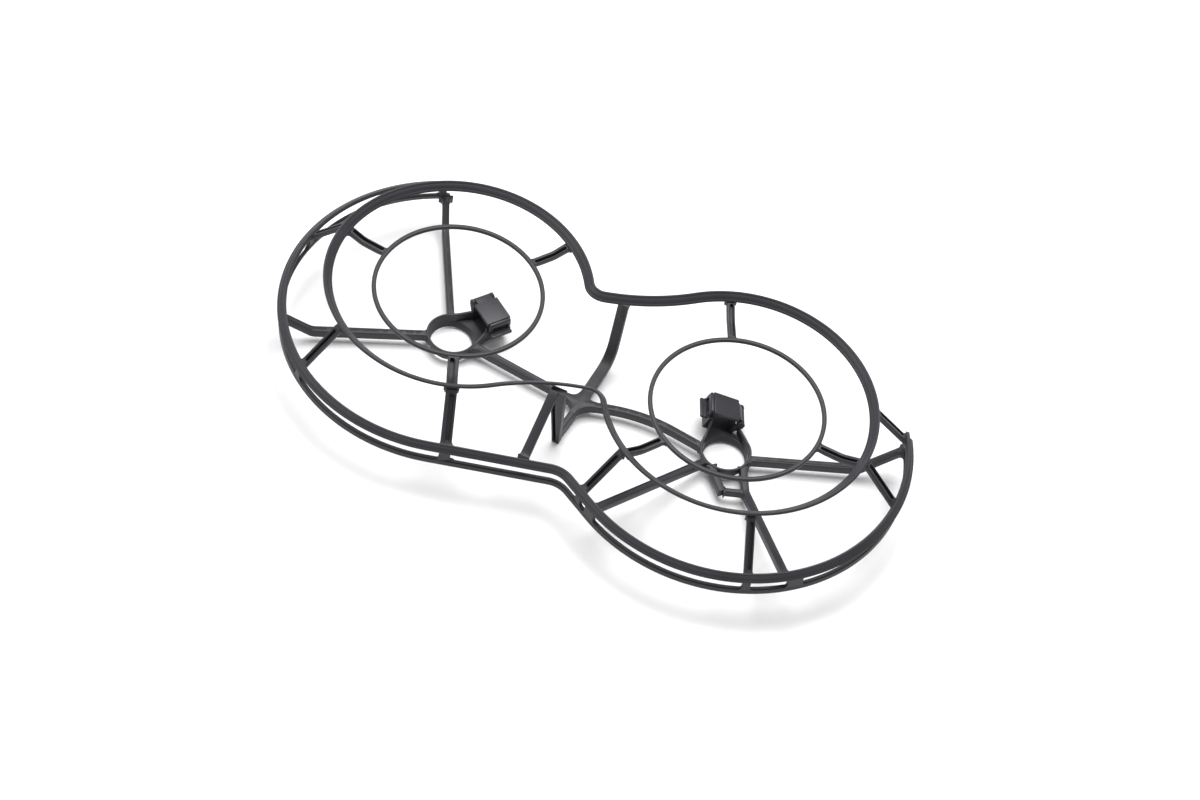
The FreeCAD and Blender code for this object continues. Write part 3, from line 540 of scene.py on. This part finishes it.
def build_spokes():
    """The arms that hold the cups, out to the rim's rails and in to the boss."""
    for name, bearing in (("rear_far", 118), ("rear_left", -153)):
        reach = rim_reach("rear", bearing)
        spoke(name, ray("rear", bearing, reach),
              [(CUP_BORE, SPOKE_TOP), (59, SPOKE_TOP), (reach, RAIL_HEIGHT + 1.2)],
              (CUP_OUTER - 0.3, 1.2), (reach - 0.9, 1.6))
    for name, start, bearing, last in (
            ("front_near_left", polar(MIDDLE["front"], 9.6, -122), -117.2, 2.2),
            ("front_near_right", BRACKET_CORNER, -51.6, 2.2)):
        finish = polar(MIDDLE["front"], rim_reach("front", bearing) - 0.9, bearing)
        reach = dist(start, finish)
        first = (1.3, 1.3) if name == "front_near_left" else None
        spoke(name, [start, finish], [(0, SPOKE_TOP), (reach, RIM_HEIGHT + 0.6)], first, (reach - 0.6, last))
    knee = polar(MIDDLE["front"], 56.2, 20.5)
    finish = polar(MIDDLE["front"], rim_reach("front", 25), 25)
    start = polar(MIDDLE["front"], 9.4, 3.6)
    reach = dist(start, knee)
    spoke("front_right", [start, knee, finish],
          [(0, SPOKE_TOP), (reach, SPOKE_TOP), (reach + dist(knee, finish), RAIL_HEIGHT + 1.2)],
          (1.4, 1.2), (reach + dist(knee, finish) - 0.8, 1.2), ["spoke_front_right", "spoke_front_rise"])
    reach = dist(REAR_ARM_START, BOSS)
    spoke("rear_centre", [REAR_ARM_START, BOSS], [(0, SPOKE_TOP), (reach, BOSS_TOP)], (CUP_OUTER, 2.4), None,
          end=reach + 0.4)
    start = polar(MIDDLE["front"], 9.6, -165)
    crest = FRONT_ARM_CREST
    bend = 15.0
    toward = [crest[k] + (start[k] - crest[k]) * bend / dist(start, crest) for k in (0, 1)]
    away = [crest[k] + (BOSS[k] - crest[k]) * bend / dist(BOSS, crest) for k in (0, 1)]
    curve = [start] + [bezier(toward, crest, away, k / 12) for k in range(13)] + [BOSS]
    reach = path_length(curve)
    spoke("front_centre", curve, [(0, SPOKE_TOP), (reach, BOSS_TOP)], (1.0, 0.6), None,
          ["spoke_front_centre", "spoke_front_link"], end=reach)
    arm = [polar(MIDDLE["front"], 9.9, -20), BRACKET_CORNER]
    bar("bracket_arm_right_flat", arm, [(0, SPOKE_TOP)], SPOKE_DEPTH, SPOKE_WIDTH,
        ["bracket_arm_right"], fillets=((1.3, 1.0), None), start=0.9, end=dist(*arm) + 0.7)
    arm = [polar(MIDDLE["front"], 9.6, -109), BRACKET_KNEE]
    bar("bracket_arm_left_flat", arm, [(0, SPOKE_TOP)], SPOKE_DEPTH, SPOKE_WIDTH,
        ["bracket_arm_left"], fillets=((1.5, 1.0), None), start=0.9, end=dist(*arm) + 0.7)
    link = [BRACKET_KNEE, BRACKET_CORNER]
    bar("bracket_link_flat", link, [(0, SPOKE_TOP - 0.15)], SPOKE_DEPTH - 0.3, 2.0, ["bracket_link"],
        fillets=((1.3, 0.9), (dist(*link) - 1.3, 0.9)), start=0.9, end=dist(*link) - 0.9)
    reach = dist(BOSS, FOOT) - 0.8
    bar("foot_bar_web", [BOSS, FOOT], [(0, BOSS_TOP), (reach, BOSS_TOP)],
        [(0, 3.4), (3.5, 3.6), (6, BOSS_TOP - 0.1), (reach, BOSS_TOP - 0.1)], 2.6, ["foot_bar"],
        end=reach)


def bezier(start, crest, end, t):
    """A gently bent line from a start to an end, pulled towards a crest."""
    return tuple((1 - t) ** 2 * a + 2 * t * (1 - t) * c + t ** 2 * b for a, c, b in zip(start, crest, end))


# ---------------------------------------------------------------- waist: upright strut and landing leg
def build_waist():
    """The upright under the loop's far waist, running down into the boss it shares with the leg."""
    drop = BOSS_TOP - 3.4
    run = dist(FAR_TOP, BOSS)
    lean = 13.0
    outer = [(0.2, LOOP_HEIGHT - 1.0), (2.2, 11.0), (3.4, 7.2), (6.2, 4.4), (10.0, drop), (run, drop)]
    inner = [(2.4, LOOP_HEIGHT - 1.0), (4.6, 13.5), (6.2, 9.8), (9.0, 7.4), (lean, BOSS_TOP), (run, BOSS_TOP)]
    side_plate("waist_strut_far_upright", FAR_TOP, BOSS, outer, inner, BROAD_WIDTH, ["waist_strut_far"],
               (0.5, 0.5))


def smooth_line(points):
    """Even points along a line whose corners are rounded."""
    count, rounds = 40, 3
    total = path_length(points)
    even = [along_path(points, total * k / count)[0] for k in range(count + 1)]
    for _ in range(rounds):
        even = [even[0]] + [tuple((a + 2 * b + c) / 4 for a, b, c in zip(*three))
                            for three in zip(even, even[1:], even[2:])] + [even[-1]]
    return even


def side_plate(name, start, end, one_edge, other_edge, width, nodes, flares):
    """A bar that bends in its upright plane, between two edges drawn in that plane."""
    run = dist(start, end)
    way = ((end[0] - start[0]) / run, (end[1] - start[1]) / run)
    one, other = smooth_line(one_edge), smooth_line(other_edge)
    bm = bmesh.new()
    rings = []
    last = len(one) - 1
    length = path_length(one)
    for k, (a, b) in enumerate(zip(one, other)):
        gap_start, gap_end = length * k / last, length * (last - k) / last
        half = width / 2
        for gap, flare in ((gap_start, flares[0]), (gap_end, flares[1])):
            if gap < flare:
                half += flare - sqrt(flare ** 2 - (flare - gap) ** 2)
        corner = 0.12
        section = []
        for t, side in ((0, 1 - corner), (corner, 1), (1 - corner, 1), (1, 1 - corner), (1, corner - 1),
                        (1 - corner, -1), (corner, -1), (0, corner - 1)):
            section.append((a[0] + (b[0] - a[0]) * t, side * half, a[1] + (b[1] - a[1]) * t))
        rings.append([bm.verts.new((start[0] + s * way[0] + c * way[1],
                                    start[1] + s * way[1] - c * way[0], z)) for s, c, z in section])
    skin(bm, rings)
    finish_piece(name, bm, CAGE, BODY, nodes, crease=45)


def build_leg():
    """A narrow channel on the ground, leaning in under the loop's near waist."""
    lean = tan(radians(7.5))
    top = LOOP_HEIGHT - 2.2
    deep, wall, slot = 3.2, 0.75, 1.15
    bm = bmesh.new()
    rings = []
    steps = 30
    for k in range(steps + 1):
        z = top * k / steps
        left = -1.6 - 3.4 * k / steps
        right = 1.6 - 0.2 * k / steps
        near = FOOT[1] - lean * z - deep / 2
        dig = 2.4 if 1 < k < steps - 2 else 0.0
        slot_left, slot_right = left + wall, left + wall + slot
        section = [(left, near), (slot_left, near), (slot_left, near + dig), (slot_right, near + dig),
                   (slot_right, near), (right, near), (right, near + deep), (left, near + deep)]
        rings.append([bm.verts.new((FOOT[0] + x, y, z)) for x, y in section])
    skin(bm, rings)
    bmesh.ops.remove_doubles(bm, verts=bm.verts, dist=0.001)
    finish_piece("landing_leg_channel", bm, CAGE, BODY, ["landing_leg"], crease=40, bevel=0.2)


# ---------------------------------------------------------------- cups
def build_cup(lobe):
    """A thin cup with a tapered foot, notched where the arm comes in."""
    bm = bmesh.new()
    count = 144
    gate = CLIP[lobe]["bearing"]
    rings = []
    for k in range(count):
        bearing = 360 * k / count
        off = abs((bearing - gate + 180) % 360 - 180)
        open_part = min(1, max(0, (GATE_HALF + 3 - off) / 6))
        ease = open_part * open_part * (3 - 2 * open_part)
        top = CUP_TOP - (CUP_TOP - CUP_SEAT) * ease
        skirt = min(CUP_SKIRT, top)
        outer = CUP_FOOT + (CUP_OUTER - CUP_FOOT) * (skirt - CUP_BOTTOM) / (CUP_SKIRT - CUP_BOTTOM)
        profile = [(CUP_HOLE, CUP_BOTTOM), (CUP_FOOT, CUP_BOTTOM),
                   (outer, skirt), (outer, max(skirt, top - 0.3)), (outer - 0.3, top + 0.01),
                   (CUP_BORE + 0.3, top + 0.01), (CUP_BORE, max(CUP_SEAT, top - 0.3)), (CUP_BORE, CUP_SEAT)]
        rings.append([bm.verts.new((*polar(MIDDLE[lobe], radius, bearing), z)) for radius, z in profile])
    skin(bm, rings, closed=True)
    finish_piece(f"cup_{lobe}", bm, CAGE, BODY, [f"motor_cup_{lobe}"], crease=35)


def build_boss():
    """The middle boss: a plate whose edge runs in smooth curves from one arm's side to the next."""
    arms = sorted((radians(bearing_of(BOSS, end)), half, under) for end, half, under in (
        (REAR_ARM_START, SPOKE_WIDTH / 2, SPOKE_DEPTH), (FOOT, 1.3, SPOKE_DEPTH),
        (FRONT_ARM_CREST, SPOKE_WIDTH / 2, SPOKE_DEPTH), (FAR_TOP, BROAD_WIDTH / 2, 3.4)))
    reach = 7.0
    nearly_straight = 0.35
    edge = []
    for (one, half_one, under_one), (two, half_two, under_two) in zip(arms, arms[1:] + arms[:1]):
        if two < one:
            two += 2 * pi
        first = Vector((reach * cos(one) - half_one * sin(one), reach * sin(one) + half_one * cos(one)))
        last = Vector((reach * cos(two) + half_two * sin(two), reach * sin(two) - half_two * cos(two)))
        turn = two - one
        inner = Vector((cos(one), sin(one))) * ((half_two + half_one * cos(turn)) / sin(turn)) \
            + Vector((-sin(one), cos(one))) * half_one
        if abs(turn - pi) < nearly_straight:
            inner = (first + last) / 2
        for k in range(13):
            t = k / 12
            p = (1 - t) ** 2 * first + 2 * t * (1 - t) * inner + t ** 2 * last
            edge.append((p.x, p.y, under_one + (under_two - under_one) * t))
    bm = bmesh.new()
    top = BOSS_TOP + 0.12
    loops = [[bm.verts.new((BOSS[0] + x * grow, BOSS[1] + y * grow, z if z else top - under))
              for x, y, under in edge]
             for z, grow in ((top, 0.93), (top - 0.08, 0.97), (top - 0.3, 1.0), (0, 1.0))]
    skin(bm, loops, capped=False)
    for ring in (loops[0], loops[-1]):
        hub = bm.verts.new((BOSS[0], BOSS[1], ring[0].co.z))
        for k in range(len(edge)):
            bm.faces.new((ring[k], ring[(k + 1) % len(edge)], hub))
    finish_piece("boss_web", bm, CAGE, BODY, ["centre_boss"], crease=50)


def build_trough(lobe):
    """The arm's way in: two walls tangent to the cup, out to the buckle's corners, and a floor."""
    clip = CLIP[lobe]
    end = clip["distance"] - 5.2
    half = 6.0
    radius = (CUP_OUTER + CUP_BORE) / 2
    turn = degrees(atan2(half, end) + acos(radius / hypot(end, half)))
    for side, label in ((1, "left"), (-1, "right")):
        start = polar(MIDDLE[lobe], radius, clip["bearing"] + side * turn)
        corner = polar(MIDDLE[lobe], hypot(end, half), clip["bearing"] + side * degrees(atan2(half, end)))
        run = dist(start, corner)
        tip = 9.0 + side * half * sin(radians(clip["roll"]))
        bar(f"trough_{lobe}_{label}", [start, corner], [(0, CUP_TOP), (run * 0.4, CUP_TOP), (run, tip)],
            [(0, 4.5), (run * 0.4, 4.7), (run, tip - 3.0)], 1.1, [], corner=0.25, start=-0.4, end=run + 0.4)
    place = Matrix.Translation((*MIDDLE[lobe], 0)) @ Matrix.Rotation(radians(clip["bearing"]), 4, "Z")
    bm = bmesh.new()
    rows = []
    steps = 16
    for k in range(steps + 1):
        share = 2 * k / steps - 1
        angle = radians(turn * share)
        near = ((CUP_BORE + 0.2) * cos(angle), (CUP_BORE + 0.2) * sin(angle))
        far = (end + 0.3, half * share)
        lift = far[1] * sin(radians(clip["roll"]))
        rows.append([bm.verts.new(place @ Vector(p)) for p in (
            (*near, CUP_SEAT - 0.1), (*far, 4.3 + lift), (*far, 3.0 + lift), (*near, 2.4))])
    skin(bm, rows)
    finish_piece(f"trough_{lobe}_floor", bm, CAGE, BODY, [f"arm_bridge_{lobe}"], crease=40)


# ---------------------------------------------------------------- buckles
def rounded_copy(node, name, bevel):
    """A frame node's shape with its edges rounded over."""
    bm = bmesh.new()
    bm.from_mesh(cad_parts[node].data)
    bmesh.ops.scale(bm, vec=(1 / MM,) * 3, verts=bm.verts)
    bmesh.ops.remove_doubles(bm, verts=bm.verts, dist=0.001)
    bmesh.ops.dissolve_limit(bm, angle_limit=radians(1), verts=bm.verts, edges=bm.edges)
    piece = finish_piece(name, bm, CAGE, BODY, [node], bevel=bevel)
    piece.modifiers["rounding"].segments = 3


def clip_frame(lobe):
    """A buckle's own frame: X out along the arm, Z square to its seat."""
    clip = CLIP[lobe]
    x, y = polar(MIDDLE[lobe], clip["distance"], clip["bearing"])
    return Matrix.Translation((x, y, CLIP_PLATE)) @ Matrix.Rotation(radians(clip["bearing"]), 4, "Z") \
        @ Matrix.Rotation(radians(clip["roll"]), 4, "X") @ Matrix.Translation((0, 0, -CLIP_PLATE))


def prism(bm, outline, start, end, place, side, round_ends=0.0):
    """Adds a solid with one outline across the arm, between two distances along it."""
    rings = []
    cuts = [(start, 0.0), (end, 0.0)]
    if round_ends:
        cuts = [(start, round_ends), (start + 0.3 * round_ends, 0.3 * round_ends), (start + round_ends, 0.0),
                (end - round_ends, 0.0), (end - 0.3 * round_ends, 0.3 * round_ends), (end, round_ends)]
    middle = Vector((sum(v for v, w in outline) / len(outline), sum(w for v, w in outline) / len(outline)))
    for u, inset in cuts:
        ring = []
        for v, w in outline:
            away = Vector((v, w)) - middle
            keep = max(0.0, 1 - inset / max(away.length, 0.01))
            ring.append(bm.verts.new(place @ Vector((u, side * (middle.x + away.x * keep),
                                                     middle.y + away.y * keep))))
        rings.append(ring)
    skin(bm, rings)


def rounded(points, radii, steps=4):
    """An outline with its corners rounded by the radii given."""
    outline = []
    count = len(points)
    for k, (corner, radius) in enumerate(zip(points, radii)):
        before, after = Vector(points[k - 1]), Vector(points[(k + 1) % count])
        here = Vector(corner)
        if not radius:
            outline.append(tuple(here))
            continue
        back, ahead = (before - here).normalized(), (after - here).normalized()
        for n in range(steps + 1):
            t = n / steps
            outline.append(bezier(here + back * radius, here, here + ahead * radius, t))
    return outline


def build_latch(lobe):
    """The lip that springs off the saddle: two legs round a window, a bar and a finger tab."""
    place, side = clip_frame(lobe), CLIP[lobe]["side"]
    inner, outer, top = -7.1, -8.3, CLIP_PLATE + 1.5
    half, leg_width = 4.9, 1.2
    window_drop, bar_height = 5.2, 1.2
    foot = top - window_drop - bar_height
    bm = bmesh.new()
    head = rounded([(inner, top), (inner, top - 1.9), (outer, top - 1.9), (outer, top)], [0.1, 0, 0, 1.0])
    prism(bm, head, -half, half, place, side, 0.25)
    leg = [(inner, top - 1.7), (inner, foot + 1.4), (outer, foot + 1.4), (outer, top - 1.7)]
    for start, end in ((-half, leg_width - half), (half - leg_width, half)):
        prism(bm, leg, start, end, place, side, 0.15)
    hook = rounded([(inner, foot + 1.9), (inner, foot), (outer - 2.2, foot), (outer - 2.2, foot + 1.2),
                    (outer, foot + 1.2), (outer, foot + 1.9)], [0, 0.4, 0.5, 0.5, 0.3, 0])
    prism(bm, hook, -half, half, place, side, 0.5)
    finish_piece(f"latch_{lobe}_lip", bm, BUCKLE, f"latch_{lobe}", [f"buckle_latch_{lobe}"],
                 crease=40)


def build_cover(lobe):
    """The plate over the arm: rounded over towards the latch, with its knuckle along the far edge."""
    place, side, hinge = clip_frame(lobe), CLIP[lobe]["side"], CLIP[lobe]["hinge_w"]
    bm = bmesh.new()
    top = CLIP_PLATE + 1.5
    plate = rounded([(-6.8, CLIP_PLATE), (5.2, CLIP_PLATE), (5.2, top), (-6.8, top)], [0.3, 0.2, 0.35, 0.5])
    prism(bm, plate, -5.4, 5.4, place, side, 0.3)
    for u in (-3.2, 0.0, 3.2):
        prism(bm, [(-5.0, CLIP_PLATE - 0.5), (4.4, CLIP_PLATE - 0.5), (4.4, CLIP_PLATE + 0.2),
                   (-5.0, CLIP_PLATE + 0.2)], u - 0.4, u + 0.4, place, side)
    axis, half, rim = 7.5, 3.8, 0.25
    wide, narrow, eye = 1.7, 1.45, 0.85
    tongue = [(4.1, CLIP_PLATE + 0.02), (6.1, hinge + 0.4), (axis, hinge + wide), (5.3, top - 0.02),
              (4.1, top - 0.02)]
    prism(bm, tongue, -half, half, place, side, 0.15)
    finish_piece(f"cover_{lobe}_plate", bm, BUCKLE, f"cover_{lobe}", [], crease=40)
    bm = bmesh.new()
    count = 28
    rings = []
    for u, radius in ((-half, eye), (-half, narrow), (rim - half, wide),
                      (half - rim, wide), (half, narrow), (half, eye)):
        rings.append([bm.verts.new(place @ Vector((u, side * axis + radius * cos(2 * pi * k / count),
                                                   hinge + radius * sin(2 * pi * k / count))))
                      for k in range(count)])
    skin(bm, rings, closed=True)
    finish_piece(f"cover_{lobe}_knuckle", bm, BUCKLE, f"cover_{lobe}", [f"buckle_cover_{lobe}"],
                 crease=40)


def build_buckle(lobe):
    rounded_copy(f"arm_saddle_{lobe}", f"saddle_{lobe}", 0.3)
    build_cover(lobe)
    build_latch(lobe)
    build_trough(lobe)


def dress_nodes():
    """Gives every CAD node the finish of what it is made of."""
    for name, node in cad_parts.items():
        finish = PIN if name.startswith("hinge_pin") else BUCKLE if name.startswith("buckle") else CAGE
        node.data.materials.clear()
        node.data.materials.append(finish)


# ---------------------------------------------------------------- studio
def build_stage():
    """A pale floor and soft overhead light."""
    floor_mesh = bpy.data.meshes.new("floor")
    reach = 6.0
    floor_mesh.from_pydata([(-reach, -reach, 0), (reach, -reach, 0), (reach, reach, 0), (-reach, reach, 0)],
                           [], [(0, 1, 2, 3)])
    floor = bpy.data.objects.new("floor", floor_mesh)
    bpy.context.scene.collection.objects.link(floor)
    paper = bpy.data.materials.new("paper")
    paper.use_nodes = True
    shader = paper.node_tree.nodes["Principled BSDF"]
    shader.inputs["Base Color"].default_value = (0.9, 0.9, 0.905, 1)
    shader.inputs["Roughness"].default_value = 0.9
    shader.inputs["Specular IOR Level"].default_value = 0.1
    floor_mesh.materials.append(paper)

    world = bpy.data.worlds.new("studio")
    bpy.context.scene.world = world
    world.use_nodes = True
    background = world.node_tree.nodes["Background"]
    background.inputs["Color"].default_value = (1, 1, 1, 1)
    background.inputs["Strength"].default_value = 0.42

    for name, place, spread, power in (("key", (-0.1, 0.45, 1.5), 1.3, 31),
                                       ("side", (-1.1, -0.3, 1.0), 0.8, 6)):
        light = bpy.data.lights.new(name, "AREA")
        light.shape = "DISK"
        light.size = spread
        light.energy = power
        lamp = bpy.data.objects.new(name, light)
        bpy.context.scene.collection.objects.link(lamp)
        lamp.location = place
        aim = Vector((0, 0, 0.02)) - lamp.location
        lamp.rotation_euler = aim.to_track_quat("-Z", "Y").to_euler()
    bpy.context.scene.view_settings.view_transform = "Standard"


def build_camera():
    """Low over the guard's outer side, tilted a little as the product is shown."""
    azimuth = radians(13.8)
    elevation = radians(50.8)
    roll = radians(12.3)
    away = 1129.8 * MM
    target = Vector((10.37, -17.98, 35.5)) * MM
    back = Vector((sin(azimuth) * cos(elevation), -cos(azimuth) * cos(elevation), sin(elevation)))
    right = Vector((cos(azimuth), sin(azimuth), 0))
    up = back.cross(right)
    turned_right = cos(roll) * right + sin(roll) * up
    turned_up = cos(roll) * up - sin(roll) * right
    camera_data = bpy.data.cameras.new("camera")
    camera_data.lens = 83.71
    camera_data.sensor_width = 36
    camera = bpy.data.objects.new("camera", camera_data)
    bpy.context.scene.collection.objects.link(camera)
    camera.matrix_world = Matrix((
        (turned_right.x, turned_up.x, back.x, target.x + away * back.x),
        (turned_right.y, turned_up.y, back.y, target.y + away * back.y),
        (turned_right.z, turned_up.z, back.z, target.z + away * back.z),
        (0, 0, 0, 1)))
    bpy.context.scene.camera = camera


dress_nodes()
build_rings()
build_loop()
build_rim()
build_struts()
build_spokes()
build_waist()
build_leg()
for lobe in ("rear", "front"):
    build_cup(lobe)
    build_buckle(lobe)
build_boss()
build_stage()
build_camera()
